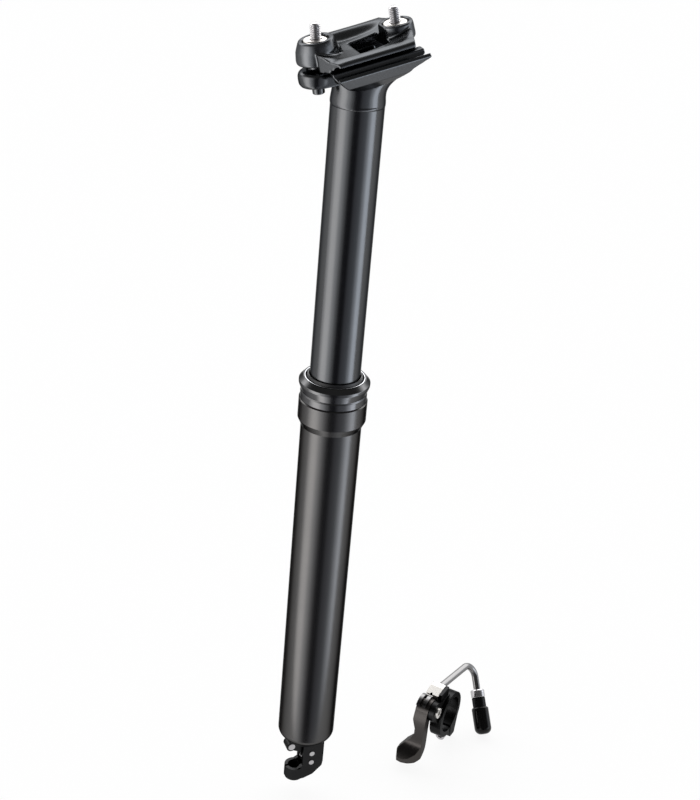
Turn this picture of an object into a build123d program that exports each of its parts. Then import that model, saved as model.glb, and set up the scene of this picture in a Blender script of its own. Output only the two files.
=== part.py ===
# Dropper seatpost with its remote lever, in millimetres.
# The post's axis is +Z, +X points to the front of the bicycle and +Y to its left side.
# The origin is where the insertable round of the outer tube ends, at the foot of its collar.

from build123d import *
from math import asin, atan2, cos, degrees, radians, sin, sqrt, tan
import os

os.makedirs("parts", exist_ok=True)

# Driving dimensions of the post
insert_dia = 31.6
insert_length = 199.0
stanchion_dia = 26.0
stanchion_wall = 1.5
post_travel = 140.0
exposed_length = 140.2
head_lean = 11.0
clamp_set_angle = 4.0
bolt_spacing = 39.2
rail_dia = 7.0
rail_spacing = 44.0

# Clearances, wall allowances and the overrun of cuts
running_gap = 0.03
slide_gap = 0.1
key_gap = 0.05
seat_gap = 0.3
fixed_gap = 0.02
rail_play = 0.05
cut_over = 1.0

# Outer tube
bore_dia = 28.4
foot_neck_dia = 23.0
foot_neck_height = 6.0
foot_round = 4.0
collar_dia = 35.4
collar_slope_height = 4.0
collar_height = 15.2
collar_edge = 0.5
cap_bore_dia = 31.2
cap_bore_floor = 3.0
keyway_depth = 0.7
keyway_width = 3.1
key_count = 3

# Screwed collar cap
cap_gap = 0.25
cap_band_dia = 34.3
cap_band_height = 3.2
cap_waist_dia = 33.6
cap_waist_height = 0.8
cap_bulge_dia = 36.6
cap_bulge_rise = 4.2
cap_bulge_land = 1.4
cap_bulge_round = 0.6
cap_rim_dia = 32.4
cap_rim_rise = 2.2
cap_skirt_depth = 10.4
cap_skirt_bore_dia = 29.2
cap_ledge_dia = 27.2
cap_ledge_thickness = 1.2
cap_pocket_dia = 30.0
foam_height = 2.8

# Wiper seal
wiper_height = 8.3
wiper_lip = 0.4
wiper_lip_height = 1.2
wiper_wall = 1.5
wiper_slope_height = 2.9
wiper_shoulder_share = 0.6

# Guide bushings and keys
top_bush_length = 16.0
bush_flange_height = 1.3
bush_flange_dia = 31.0
bush_split_width = 1.6
foot_bush_length = 20.0
key_width = 3.0
key_length = 12.4
key_root_dia = 24.5
stanchion_tail = 50.0

# Gas cartridge
cylinder_dia = 21.0
cylinder_bore_dia = 18.0
cylinder_top_space = 22.0
cylinder_flange_dia = 22.9
cylinder_flange_height = 5.0
cylinder_tail = 2.0
seal_head_height = 9.0
rod_dia = 8.0
rod_bore_dia = 2.6
piston_height = 6.0
piston_stand = 1.4
end_plug_height = 7.0
release_pin_dia = 2.0
release_pin_length = 96.0
release_flange_dia = 4.6
release_flange_height = 0.8

# Head forging
spigot_length = 20.0
spigot_chamfer = 0.8
seat_radius = 22.8
seat_half_width = 11.5
ear_radius = 8.7
ear_top_depth = 12.2
ear_height = 7.5
ear_inner_reach = 15.2
ear_edge = 2.6
bolt_hole_dia = 5.8
bolt_recess_dia = 10.4
bolt_pocket_dia = 10.4
bolt_pocket_depth = 5.5
head_pivot_forward = 3.7
head_pivot_rise = 33.2
rear_web_half_width = 10.4
# Each section of the flare: height, forward centre, half length and half width, as shares of the neck radius
flare_shares = (
    (0.0, 0.0, 1.0, 1.0), (0.36, 0.0, 1.0, 0.985), (0.76, -0.06, 1.06, 0.95), (1.1, -0.22, 1.32, 0.9),
    (1.42, -0.42, 1.53, 0.84), (1.75, -0.6, 1.78, 0.8),
)

# Clamp bolts, washers and domed nuts
bolt_dia = 5.2
bolt_end_stand = 7.2
bolt_end_chamfer = 0.7
bolt_head_dia = 8.8
bolt_head_height = 4.6
bolt_socket_size = 4.0
bolt_socket_depth = 2.6
bolt_head_recess = 4.0
washer_dia = 9.8
washer_height = 1.0
nut_ball_radius = 5.9
nut_top_stand = 1.6
nut_ball_depth = 4.0
nut_hole_dia = 6.0
nut_edge = 0.5

# Saddle clamp, with heights from the plane of the rail centres and lengths forward and back of the tilt axis
rail_drop = 9.05
plate_top = 2.6
plate_thickness = 3.0
plate_flat_half = 11.5
wing_crest = 5.9
wing_crest_half = 20.6
wing_bevel_half = 22.6
wing_edge_half = 23.8
wing_edge_height = 4.6
wing_lip_height = 1.6
wing_root_half = 12.9
wing_front = 17.6
wing_rear = 18.4
wing_tip_reach = 23.6
wing_tip_half = 12.6
window_front = 4.1
window_rear = 10.9
window_half = 9.6
window_round = 0.8
boss_top_radius = 8.0
boss_top_rise = 1.7
boss_waist_radius = 10.7
boss_foot_radius = 9.6
boss_waist_height = 3.6
boss_foot_height = -0.3
boss_slot_half = 5.5
boss_slot_half_width = 3.8
spot_face_radius = 11.4
spot_face_floor = 3.0
# Stations along the plate: place forward of the axis, then heights of its middle, shoulder and crest
plate_stations = (
    (-26.0, 10.4, 10.4, 6.6),
    (-19.0, 7.0, 7.1, 6.3),
    (-14.4, 4.0, 4.2, 6.1),
    (-11.6, 2.8, 3.0, 6.0),
    (4.6, 2.6, 2.8, 5.9),
    (15.0, 4.4, 4.6, 5.9),
    (26.0, 6.4, 6.6, 5.6),
)

# Lower cradle
cradle_front = 19.9
cradle_rear = 24.9
cradle_radius = 22.5
cradle_lip_height = -0.2
cradle_lip_half = 25.3
cradle_edge_half = 27.0
cradle_edge_height = -1.5
cradle_keel_half = 14.0
cradle_keel_share = 0.55
cradle_trough_inner_half = 13.6
cradle_bridge_half = 12.0
cradle_bridge_top = -4.2
cradle_rear_rise = 2.2
grip_count = 5
grip_pitch = 1.3
grip_depth = 0.3

# Foot plug and actuator bracket
plug_flange_dia = 24.0
plug_flange_height = 2.0
plug_hole_dia = 3.0
bracket_half_width = 5.0
bracket_cheek = 2.0
bracket_plate = 1.8
bracket_rear = 10.2
bracket_front = 2.2
bracket_drop = 28.4
bracket_web_depth = 8.4
# Rear and lower outline of a cheek, from its rear top corner, as shares of the drop of the bracket
cheek_shares = (
    (-0.359, 0.0), (-0.359, -0.62), (-0.34, -0.73), (-0.155, -0.915), (0.03, -0.985), (0.19, -1.0))
cup_dia = 11.4
cup_forward = 5.3
cup_top_drop = 20.6
cup_bottom_drop = 29.2
cup_round = 1.8
cup_well_dia = 7.6
cup_well_depth = 4.4
cup_cable_dia = 2.4
cup_slot_width = 1.6
housing_socket_dia = 5.4
housing_socket_depth = 4.0
pivot_pin_dia = 3.0
pivot_forward = -3.1
pivot_drop = 11.1
rivet_drop = 17.3
pin_stand = 0.35

# Actuator lever
lever_half_width = 2.7
lever_hub_radius = 3.0
lever_end_half_width = 3.0
lever_end_forward = 8.9
lever_end_drop = 5.4
lever_end_radius = 3.0
lever_web_height = 4.2
lever_fork_width = 2.6
lever_fork_rear = 2.2
lever_fork_front = 2.5
lever_nose_radius = 2.9
barrel_dia = 4.0
barrel_hole_dia = 1.6
release_stroke_angle = 18.0

# Remote lever: place of the bar's centre and the direction of its axis
remote_at = (-96.0, -14.6, -215.7)
bar_axis_angle = 131.0
bar_dia = 22.2
bar_clamp_wall = 3.3
bar_clamp_width = 7.0
bar_clamp_slit = 1.6
bar_clamp_slit_at = 2.5
# Outline of the split ears under the ring, from the bar's centre as across and up
ear_corners = ((-12.6, -4.5), (4.2, -19.6), (9.6, -19.6), (13.2, -4.0))
ear_left = 0.6
ear_right = 8.6
clamp_screw_dia = 4.0
clamp_screw_head_dia = 5.8
clamp_screw_head_height = 3.2
clamp_screw_socket = 3.0
clamp_screw_drop = 15.2

remote_pivot_back = 18.5
remote_pivot_rise = 12.6
remote_lever_far = 9.5
remote_lever_near = 1.5
lug_thickness = 3.0
lug_radius = 6.0
lug_foot_drop = 3.7
hub_radius = 6.6
hub_pocket_radius = 5.0
hub_pocket_depth = 3.0
pivot_screw_dia = 4.0
pivot_head_dia = 6.4
pivot_head_height = 1.4
pivot_socket = 2.5
pivot_nut_height = 2.4
pivot_nut_size = 5.5
nut_pocket_radius = 3.6
nut_pocket_depth = 2.8
bush_wall = 1.0
remote_spring_wire = 0.8
remote_spring_radius = 3.9
spring_gap_start = -20.0
spring_gap_end = 20.0
sector_steps = 3
remote_lever_length = 34.0
# Outline of the lever seen along the bar, from its pivot, as shares of the lever's length
arm_front_shares = (
    (-0.147, 0.115), (-0.235, -0.076), (-0.268, -0.282), (-0.268, -0.459),
    (-0.288, -0.606), (-0.368, -0.709), (-0.544, -0.812))
arm_back_shares = (
    (-0.553, -0.879), (-0.426, -0.909), (-0.265, -0.885), (-0.132, -0.782),
    (-0.091, -0.606), (-0.079, -0.371), (-0.059, -0.194))
# Outline of the lever seen from its side: height from the pivot and along the bar, as shares of the length
arm_side_shares = (
    (0.25, -0.044), (0.25, -0.279), (-0.12, -0.279), (-0.17, -0.262),
    (-0.29, -0.218), (-0.41, -0.218), (-0.54, -0.28), (-0.65, -0.38), (-0.74, -0.465), (-0.95, -0.465), (-0.95, -0.044))
# Outline of the thumb pad seen from above: distance from the pivot and along the bar, as shares of the length
pad_shares = (
    (0.0, -0.044), (-0.27, -0.044), (-0.4, -0.1), (-0.5, -0.19),
    (-0.558, -0.294), (-0.53, -0.388), (-0.41, -0.45), (-0.25, -0.465), (-0.16, -0.42), (-0.06, -0.38), (0.0, -0.38))
anchor_wall = 1.6
anchor_width = 6.0
anchor_start_angle = 60.0
anchor_end_angle = 142.0
anchor_slot_width = 1.8
anchor_bridge_angle = 14.0

guide_length = 10.5
guide_width = 8.0
guide_height = 5.0
guide_slope = 2.0
guide_land = 3.5
guide_back = 11.4
guide_seat_rise = 15.3
guide_pad_depth = 4.0
guide_wall_height = 4.6
guide_wall_thickness = 2.0
guide_edge = 0.6
noodle_dia = 4.2
noodle_bore_dia = 2.0
noodle_bend_radius = 7.0
# Straight runs of the bent tube: start, corner and end, from the bar's centre as across, up, along the bar
noodle_start = (-4.0, 17.2, -5.5)
noodle_corner = (39.3, 14.1, -1.4)
noodle_end = (29.8, -1.2, 8.3)
ferrule_dia = 8.6
ferrule_length = 5.0
ferrule_seat = 2.5
adjuster_dia = 8.2
adjuster_shoulder = 5.6
adjuster_thread_dia = 6.0
adjuster_length = 14.0
knob_dia = 10.4
knob_length = 16.6
knob_edge = 1.4
knob_end_round = 3.8
knob_bore_depth = 11.0
knob_socket_dia = 2.6
knob_socket_depth = 8.0

# Radii and heights that follow from the sizes above
insert_r = insert_dia / 2
bore_r = bore_dia / 2
stanchion_r = stanchion_dia / 2
stanchion_bore_r = stanchion_r - stanchion_wall
cap_foot = collar_height + cap_gap
cap_bulge_foot = cap_foot + cap_band_height + cap_waist_height
cap_bulge_low = cap_bulge_foot + cap_bulge_rise
cap_top = cap_bulge_low + cap_bulge_land + cap_rim_rise
cap_ledge_low = cap_foot + cap_waist_height
cap_pocket_floor = cap_ledge_low + cap_ledge_thickness
wiper_foot = cap_pocket_floor + foam_height + fixed_gap
wiper_top = wiper_foot + wiper_height
neck_z = wiper_top + exposed_length - wiper_lip
tail_z = -stanchion_tail
cylinder_foot = tail_z - cylinder_tail
cylinder_top = cylinder_foot + seal_head_height + post_travel + cylinder_top_space
tube_foot = -insert_length
plug_top = tube_foot + foot_neck_height
bracket_top = tube_foot - plug_flange_height
tilt_x = head_pivot_forward
tilt_z = neck_z + head_pivot_rise
half_bolts = bolt_spacing / 2
rail_half = rail_spacing / 2
rail_r = rail_dia / 2 + rail_play
BASE = (Align.CENTER, Align.CENTER, Align.MIN)

# The head's own frame leans forward from the post, and the saddle clamp is set a little further
head_frame = Pos(tilt_x, 0, tilt_z) * Rot(0, head_lean, 0)
clamp_frame = Pos(tilt_x, 0, tilt_z) * Rot(0, head_lean + clamp_set_angle, 0)
remote_plane = Plane(
    origin=remote_at,
    x_dir=(sin(radians(bar_axis_angle)) * -1, cos(radians(bar_axis_angle)), 0),
    z_dir=(cos(radians(bar_axis_angle)), sin(radians(bar_axis_angle)), 0),
)
remote_frame = remote_plane.location


def round_bar(radius, low, high):
    return Pos(0, 0, low) * Cylinder(radius, high - low, align=BASE)


def ring(outer_r, inner_r, low, high):
    return round_bar(outer_r, low, high) - round_bar(inner_r, low - cut_over, high + cut_over)


def turned(points):
    # A closed outline of radius and height, turned about Z
    return revolve(Plane.XZ * make_face(Polyline(*points, close=True)), Axis.Z)


def side_plate(face, half_width):
    # A face drawn in X and Z, made into a plate that is centred on the post's middle plane
    return extrude(Plane.XZ * face, amount=half_width, both=True)


def cross_bar(radius, half_length, x, z):
    # A round bar that lies across the post
    return Pos(x, 0, z) * Rot(90, 0, 0) * Cylinder(radius, 2 * half_length)


def around(count, shape):
    return [Rot(0, 0, 360 * i / count) * shape for i in range(count)]


def hex_prism(across_flats, low, high):
    outline = RegularPolygon(across_flats / 2, 6, major_radius=False)
    return Pos(0, 0, low) * extrude(outline, amount=high - low)


def save(node, shape, frame=None):
    placed = frame * shape if frame else shape
    whole = placed if isinstance(placed, (Part, Solid, Compound)) else Compound(placed)
    export_step(whole, f"parts/{node}.step")


# Outer tube: insertable round, sloped collar and the three keyways of its bore
def outer_tube():
    collar_r = collar_dia / 2
    body = turned([
        (foot_neck_dia / 2, tube_foot), (insert_r, tube_foot), (insert_r, 0), (collar_r, collar_slope_height),
        (collar_r, collar_height), (cap_bore_dia / 2, collar_height), (cap_bore_dia / 2, cap_bore_floor),
        (bore_r, cap_bore_floor), (bore_r, plug_top), (foot_neck_dia / 2, plug_top),
    ])
    round_edges = body.edges().filter_by(GeomType.CIRCLE)
    foot_rim = [
        e for e in round_edges if e.arc_center.Z < tube_foot + fixed_gap and e.radius > insert_r - fixed_gap]
    body = fillet(foot_rim, foot_round)
    rim = [e for e in body.edges().filter_by(GeomType.CIRCLE)
           if e.arc_center.Z > collar_height - fixed_gap and e.radius > collar_r - fixed_gap]
    body = chamfer(rim, collar_edge)
    keyway_top = -(top_bush_length - cap_bore_floor - bush_flange_height) - fixed_gap
    keyway = Pos(bore_r, 0, plug_top) * Box(2 * keyway_depth, keyway_width, keyway_top - plug_top, align=BASE)
    for cut in around(key_count, keyway):
        body -= cut
    return body


def collar_cap():
    skirt_r = cap_bore_dia / 2 - fixed_gap
    band_r, waist_r, bulge_r, rim_r = cap_band_dia / 2, cap_waist_dia / 2, cap_bulge_dia / 2, cap_rim_dia / 2
    band_top = cap_foot + cap_band_height
    body = turned([
        (skirt_r, cap_foot), (band_r, cap_foot), (band_r, band_top), (waist_r, cap_bulge_foot),
        (bulge_r, cap_bulge_low), (bulge_r, cap_bulge_low + cap_bulge_land), (rim_r, cap_top),
        (cap_pocket_dia / 2, cap_top), (cap_pocket_dia / 2, cap_pocket_floor),
        (cap_ledge_dia / 2, cap_pocket_floor), (cap_ledge_dia / 2, cap_ledge_low),
        (cap_skirt_bore_dia / 2, cap_ledge_low), (cap_skirt_bore_dia / 2, cap_foot - cap_skirt_depth),
        (skirt_r, cap_foot - cap_skirt_depth),
    ])
    bulge_edges = [e for e in body.edges().filter_by(GeomType.CIRCLE) if e.radius > bulge_r - fixed_gap]
    return fillet(bulge_edges, cap_bulge_round)


def foam_ring():
    top = cap_pocket_floor + foam_height
    return ring(cap_pocket_dia / 2 - fixed_gap, stanchion_r + slide_gap, cap_pocket_floor, top)


def wiper_seal():
    outer_r = cap_pocket_dia / 2 - fixed_gap
    lip_r = stanchion_r + running_gap
    slope_foot = wiper_top - wiper_slope_height
    tip_r = stanchion_r + wiper_wall * wiper_shoulder_share
    return turned([
        (outer_r, wiper_foot), (outer_r, slope_foot), (tip_r, wiper_top), (lip_r + wiper_lip, wiper_top),
        (lip_r, wiper_top - wiper_lip), (lip_r, wiper_top - wiper_lip_height), (lip_r + wiper_lip, slope_foot),
        (lip_r + wiper_lip, wiper_foot),
    ])


# Guides: a flanged bushing under the cap, a bushing on the stanchion's tail and three brass keys
def upper_bushing():
    flange_top = cap_foot - cap_skirt_depth - fixed_gap
    flange_low = flange_top - bush_flange_height
    bush = ring(bore_r - fixed_gap, stanchion_r + running_gap, flange_top - top_bush_length, flange_top)
    bush += ring(bush_flange_dia / 2, stanchion_r + running_gap, flange_low, flange_top)
    split = Pos(-bore_r, 0, flange_top - top_bush_length - cut_over) * Box(
        2 * stanchion_wall + bush_flange_dia - bore_dia, bush_split_width, top_bush_length + 2 * cut_over, align=BASE)
    return bush - split


def lower_bushing():
    return ring(bore_r - running_gap * 2, stanchion_r + fixed_gap, tail_z, tail_z + foot_bush_length)


def guide_keys():
    top = -(top_bush_length - cap_bore_floor - bush_flange_height) - 2 * seat_gap
    outer = bore_r + keyway_depth - slide_gap
    blank = Pos(key_root_dia / 2, 0, top - key_length) * Box(
        outer - key_root_dia / 2, key_width, key_length, align=(Align.MIN, Align.CENTER, Align.MIN))
    return around(key_count, blank)


def stanchion_tube():
    body = ring(stanchion_r, stanchion_bore_r, tail_z, neck_z)
    top = -(top_bush_length - cap_bore_floor - bush_flange_height) - 2 * seat_gap
    slot = Pos(key_root_dia / 2 - fixed_gap, 0, top - key_length - fixed_gap) * Box(
        stanchion_r, key_width + 2 * fixed_gap, key_length + 2 * fixed_gap, align=(Align.MIN, Align.CENTER, Align.MIN))
    for cut in around(key_count, slot):
        body -= cut
    return body


# Gas cartridge: the cylinder travels with the stanchion, the rod and piston stay with the outer tube
def cartridge_cylinder():
    body = ring(cylinder_dia / 2, cylinder_bore_dia / 2, cylinder_foot, cylinder_top)
    body += ring(cylinder_flange_dia / 2, cylinder_bore_dia / 2, tail_z, tail_z + cylinder_flange_height)
    return body


def cartridge_seal_head():
    top = cylinder_foot + seal_head_height
    return ring(cylinder_bore_dia / 2 - fixed_gap, rod_dia / 2 + running_gap, cylinder_foot, top)


def cartridge_end_plug():
    top = cylinder_top
    plug = round_bar(cylinder_bore_dia / 2 - fixed_gap, top - end_plug_height, top)
    return plug + round_bar(cylinder_dia / 2, top, top + cylinder_tail)


def piston_foot():
    return cylinder_foot + seal_head_height + piston_stand


def cartridge_rod():
    return ring(rod_dia / 2, rod_bore_dia / 2, plug_top - foot_neck_height + cut_over, piston_foot())


def cartridge_piston():
    low = piston_foot()
    return turned([
        (rod_bore_dia / 2, low), (cylinder_bore_dia / 2 - running_gap, low),
        (cylinder_bore_dia / 2 - running_gap, low + piston_height), (rod_bore_dia / 2, low + piston_height),
    ])


def release_pin():
    nose_z = bracket_top - pivot_drop - lever_nose_radius - seat_gap
    shaft = round_bar(release_pin_dia / 2, nose_z, nose_z + release_pin_length)
    return shaft + round_bar(release_flange_dia / 2, nose_z - release_flange_height, nose_z)


# Head forging: neck, flare, curved seat for the cradle and an ear for each bolt
def head_forging():
    r = stanchion_r
    sections = []
    for height, centre, half_length, half_width in flare_shares:
        sections.append(Pos(centre * r, 0, neck_z + height * r) * Ellipse(half_length * r, half_width * r))
    body = loft(sections)
    spigot = round_bar(stanchion_bore_r - fixed_gap, neck_z - spigot_length, neck_z)
    body += chamfer(spigot.edges().sort_by(Axis.Z)[0], spigot_chamfer)
    top = -ear_top_depth
    for side in (1, -1):
        ear = Pos(side * half_bolts, 0, top - ear_height) * Cylinder(ear_radius, ear_height, align=BASE)
        arm = Pos(side * half_bolts / 2, 0, top - ear_height) * Box(
            half_bolts, 2 * ear_radius, ear_height, align=BASE)
        body += head_frame * fillet((ear + arm).edges().group_by(Axis.Z)[-1], ear_edge)
    seat_room = Box(2 * ear_inner_reach, 4 * ear_radius, 2 * seat_radius)
    above = Pos(0, 0, top) * Box(4 * seat_radius, 4 * ear_radius, 2 * seat_radius, align=BASE)
    body -= head_frame * (cross_bar(seat_radius, 2 * ear_radius, 0, 0) & seat_room)
    body -= head_frame * above
    for side in (1, -1):
        x = side * half_bolts
        body -= head_frame * Pos(x, 0, 0) * round_bar(bolt_hole_dia / 2, -2 * seat_radius, 0)
        ear_foot = top - ear_height
        pocket_low = ear_foot - bolt_pocket_depth
        body -= head_frame * Pos(x, 0, 0) * round_bar(bolt_pocket_dia / 2, pocket_low, ear_foot)
        recess = round_bar(bolt_recess_dia / 2, pocket_low, ear_foot + bolt_head_recess)
        body -= head_frame * Pos(x, 0, 0) * recess
    return body


def clamp_bolt(side):
    head_top = -ear_top_depth - ear_height + bolt_head_recess - washer_height - 2 * fixed_gap
    shank = round_bar(bolt_dia / 2, head_top, nut_top_stand + bolt_end_stand)
    shank = chamfer(shank.edges().sort_by(Axis.Z)[-1], bolt_end_chamfer)
    head = round_bar(bolt_head_dia / 2, head_top - bolt_head_height, head_top)
    head = chamfer(head.edges().filter_by(GeomType.CIRCLE).sort_by(Axis.Z)[0], bolt_end_chamfer)
    head_foot = head_top - bolt_head_height
    socket = hex_prism(bolt_socket_size, head_foot - cut_over, head_foot + bolt_socket_depth)
    return Pos(side * half_bolts, 0, 0) * (shank + head - socket)


def bolt_washer(side):
    top = -ear_top_depth - ear_height + bolt_head_recess - fixed_gap
    return Pos(side * half_bolts, 0, 0) * ring(washer_dia / 2, bolt_dia / 2 + slide_gap, top - washer_height, top)


def domed_nut(side):
    ball = Sphere(nut_ball_radius)
    keep = round_bar(nut_ball_radius + cut_over, -nut_ball_depth, nut_top_stand)
    nut = (ball & keep) - round_bar(nut_hole_dia / 2, -nut_ball_radius, nut_ball_radius)
    outer = [e for e in nut.edges().filter_by(GeomType.CIRCLE)
             if e.arc_center.Z > nut_top_stand - fixed_gap and e.radius > nut_hole_dia / 2 + fixed_gap]
    return Pos(side * half_bolts, 0, 0) * chamfer(outer, nut_edge)


# Upper clamp: a dished plate with a window, a wing over each rail and a boss round each bolt
def boss_centre(side):
    turn = radians(clamp_set_angle)
    return side * half_bolts * cos(turn), side * half_bolts * sin(turn)


def clamp_section(x, inner, edge, crest):
    # One cross section of the plate: heights over its flat inner part, its shoulder and the crest above the rail
    rail_z = -rail_drop
    foot = plate_top - plate_thickness
    half = [
        (0, inner), (plate_flat_half, edge), (wing_crest_half, crest), (wing_bevel_half, crest),
        (wing_edge_half, crest - wing_crest + wing_edge_height), (wing_edge_half, wing_lip_height),
        (wing_root_half, wing_lip_height), (wing_root_half, foot), (0, foot),
    ]
    outline = [(y, rail_z + z) for y, z in half] + [(-y, rail_z + z) for y, z in reversed(half[1:-1])]
    return Pos(x, 0, 0) * (Plane.YZ * make_face(Polyline(*outline, close=True)))


def upper_clamp():
    rail_z = -rail_drop
    stations = [(x, inner, edge, crest) for x, inner, edge, crest in plate_stations]
    plate = loft([clamp_section(*station) for station in stations], ruled=True)
    plan = []
    for sx, sy in ((1, 1), (-1, 1), (-1, -1), (1, -1)):
        reach = wing_front if sx > 0 else wing_rear
        corner = [(sx * wing_tip_reach, sy * wing_tip_half), (sx * reach, sy * wing_edge_half)]
        plan += corner if sx * sy > 0 else corner[::-1]
    plate &= extrude(Plane.XY * make_face(Polyline(*plan, close=True)), amount=2 * rail_drop, both=True)
    for side in (1, -1):
        x, z = boss_centre(side)
        if side > 0:
            plate -= Pos(x, 0, 0) * round_bar(spot_face_radius, rail_z + spot_face_floor, rail_drop)
        boss = turned([
            (0, rail_z + boss_foot_height), (boss_foot_radius, rail_z + boss_foot_height),
            (boss_waist_radius, rail_z + boss_waist_height), (boss_top_radius, z + boss_top_rise),
            (0, z + boss_top_rise)])
        plate += Pos(x, 0, 0) * boss
    window = Pos((window_front - window_rear) / 2, 0, rail_z) * Box(
        window_front + window_rear, 2 * window_half, 4 * plate_thickness)
    plate -= fillet(window.edges().filter_by(Axis.Z), window_round)
    for y in (rail_half, -rail_half):
        plate -= Pos(0, y, rail_z) * Rot(0, 90, 0) * Cylinder(rail_r, 4 * wing_tip_reach)
    for side in (1, -1):
        x, z = boss_centre(side)
        plate -= Pos(x, 0, z) * Sphere(nut_ball_radius + seat_gap)
        plate -= Pos(x, 0, z) * round_bar(nut_ball_radius + 2 * seat_gap, 0, rail_drop)
        plate -= Pos(x, 0, 0) * Box(2 * boss_slot_half, 2 * boss_slot_half_width, 4 * rail_drop)
    return plate


# Lower cradle: two rail troughs joined by a bridge, with a round underside that rocks on the head's seat
def lower_cradle():
    rail_z = -rail_drop
    keel_z = -cradle_radius
    half = [
        (0, cradle_bridge_top + rail_z), (cradle_trough_inner_half, cradle_bridge_top + rail_z),
        (cradle_trough_inner_half, cradle_lip_height + rail_z),
        (cradle_lip_half, cradle_lip_height + rail_z), (cradle_edge_half, cradle_edge_height + rail_z),
        (cradle_edge_half - (cradle_edge_half - cradle_keel_half) * cradle_keel_share * cradle_keel_share,
         rail_z + (keel_z - rail_z) * cradle_keel_share),
        (cradle_keel_half, keel_z), (0, keel_z),
    ]
    outline = half + [(-y, z) for y, z in reversed(half[1:-1])]
    body = extrude(Plane.YZ * make_face(Polyline(*outline, close=True)), amount=cradle_rear, both=True)
    lip_z = rail_z + cradle_lip_height
    rear_z = lip_z - cradle_rear_rise
    hull = cross_bar(cradle_radius, 2 * rail_spacing, 0, 0)
    rear_wedge = make_face(Polyline(
        (0, -cradle_radius), (-cradle_rear, rear_z), (-cradle_rear, lip_z), (0, lip_z), close=True))
    keep = hull + side_plate(rear_wedge, cradle_edge_half + cut_over)
    keep -= Pos(cradle_front, 0, 0) * Box(
        cradle_radius, 2 * rail_spacing, 4 * cradle_radius, align=(Align.MIN, Align.CENTER, Align.CENTER))
    body &= keep
    for sx in (1, -1):
        body -= Pos(sx * (cradle_bridge_half + cradle_rear), 0, 0) * Box(
            2 * cradle_rear, 2 * cradle_trough_inner_half, 4 * cradle_radius)
    centre_room = cross_bar(2 * cradle_radius, seat_half_width + seat_gap, 0, 0) - cross_bar(
        cradle_radius, seat_half_width + 2 * cut_over, 0, 0)
    body -= centre_room
    for y in (rail_half, -rail_half):
        body -= Pos(0, y, rail_z) * Rot(0, 90, 0) * Cylinder(rail_r, 4 * cradle_rear)
    return body


# Foot of the post: plug, bracket with the cup for the cable housing, its two pins and the lever
def foot_plug():
    body = round_bar(foot_neck_dia / 2 - fixed_gap, bracket_top, plug_top)
    body += round_bar(plug_flange_dia / 2, bracket_top, tube_foot - fixed_gap)
    body -= round_bar(rod_dia / 2 + fixed_gap, tube_foot + cut_over, plug_top + cut_over)
    return body - round_bar(plug_hole_dia / 2, bracket_top - cut_over, plug_top)


def pivot_spot():
    return pivot_forward, bracket_top - pivot_drop


def actuator_bracket():
    top = bracket_top - fixed_gap
    cup_top, cup_foot = bracket_top - cup_top_drop, bracket_top - cup_bottom_drop
    points = [(bracket_front, top)] + [(x * bracket_drop, top + z * bracket_drop) for x, z in cheek_shares]
    points += [(cup_forward, cup_top), (bracket_front, cup_top + cup_round)]
    body = side_plate(make_face(Polyline(*points, close=True)), bracket_half_width)
    rear = -bracket_rear
    room = Pos(rear + bracket_cheek, 0, top - bracket_plate) * Box(
        bracket_rear + bracket_drop, 2 * (bracket_half_width - bracket_cheek), 2 * bracket_drop,
        align=(Align.MIN, Align.CENTER, Align.MAX))
    body -= room
    cup = Pos(cup_forward, 0, 0) * round_bar(cup_dia / 2, cup_foot, cup_top)
    body += fillet(cup.edges().filter_by(GeomType.CIRCLE).sort_by(Axis.Z)[0], cup_round)
    at_cup = Pos(cup_forward, 0, 0)
    body -= at_cup * round_bar(cup_well_dia / 2, cup_top - cup_well_depth, cup_top + cut_over)
    body -= at_cup * round_bar(cup_cable_dia / 2, cup_foot - cut_over, cup_top)
    body -= at_cup * round_bar(housing_socket_dia / 2, cup_foot - cut_over, cup_foot + housing_socket_depth)
    body -= at_cup * Pos(0, 0, cup_foot - cut_over) * Box(
        cup_dia, cup_slot_width, cup_bottom_drop, align=(Align.MIN, Align.CENTER, Align.MIN))
    x, z = pivot_spot()
    body -= cross_bar(pivot_pin_dia / 2 + fixed_gap, 2 * bracket_half_width, x, z)
    body -= cross_bar(pivot_pin_dia / 2 + fixed_gap, 2 * bracket_half_width, x, bracket_top - rivet_drop)
    return body - round_bar(plug_hole_dia / 2, top - bracket_plate - cut_over, top + cut_over)


def bracket_pin(drop):
    return cross_bar(pivot_pin_dia / 2, bracket_half_width + pin_stand, pivot_forward, bracket_top - drop)


def actuator_lever():
    x, z = pivot_spot()
    end_x, end_z = lever_end_forward, bracket_top - lever_end_drop
    turn = degrees(atan2(end_z - z, end_x - x))
    reach = sqrt((end_x - x) ** 2 + (end_z - z) ** 2)
    body = cross_bar(lever_hub_radius, lever_half_width, x, z)
    body += Pos(x, 0, z) * Rot(0, -turn, 0) * Box(
        reach, 2 * lever_half_width, lever_web_height, align=(Align.MIN, Align.CENTER, Align.CENTER))
    body += cross_bar(lever_nose_radius, lever_half_width, 0, z)
    body += cross_bar(lever_end_radius, lever_end_half_width, end_x, end_z)
    body -= cross_bar(pivot_pin_dia / 2 + running_gap, 2 * lever_half_width, x, z)
    body -= cross_bar(barrel_dia / 2 + running_gap, 2 * lever_end_half_width, end_x, end_z)
    body -= Pos(-lever_fork_rear, 0, z) * Box(
        lever_fork_rear + lever_fork_front, lever_fork_width, 4 * lever_web_height,
        align=(Align.MIN, Align.CENTER, Align.CENTER))
    return body - Pos(end_x, 0, end_z) * Box(
        barrel_hole_dia, barrel_hole_dia, 2 * lever_end_radius, align=(Align.CENTER, Align.CENTER, Align.MAX))


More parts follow.
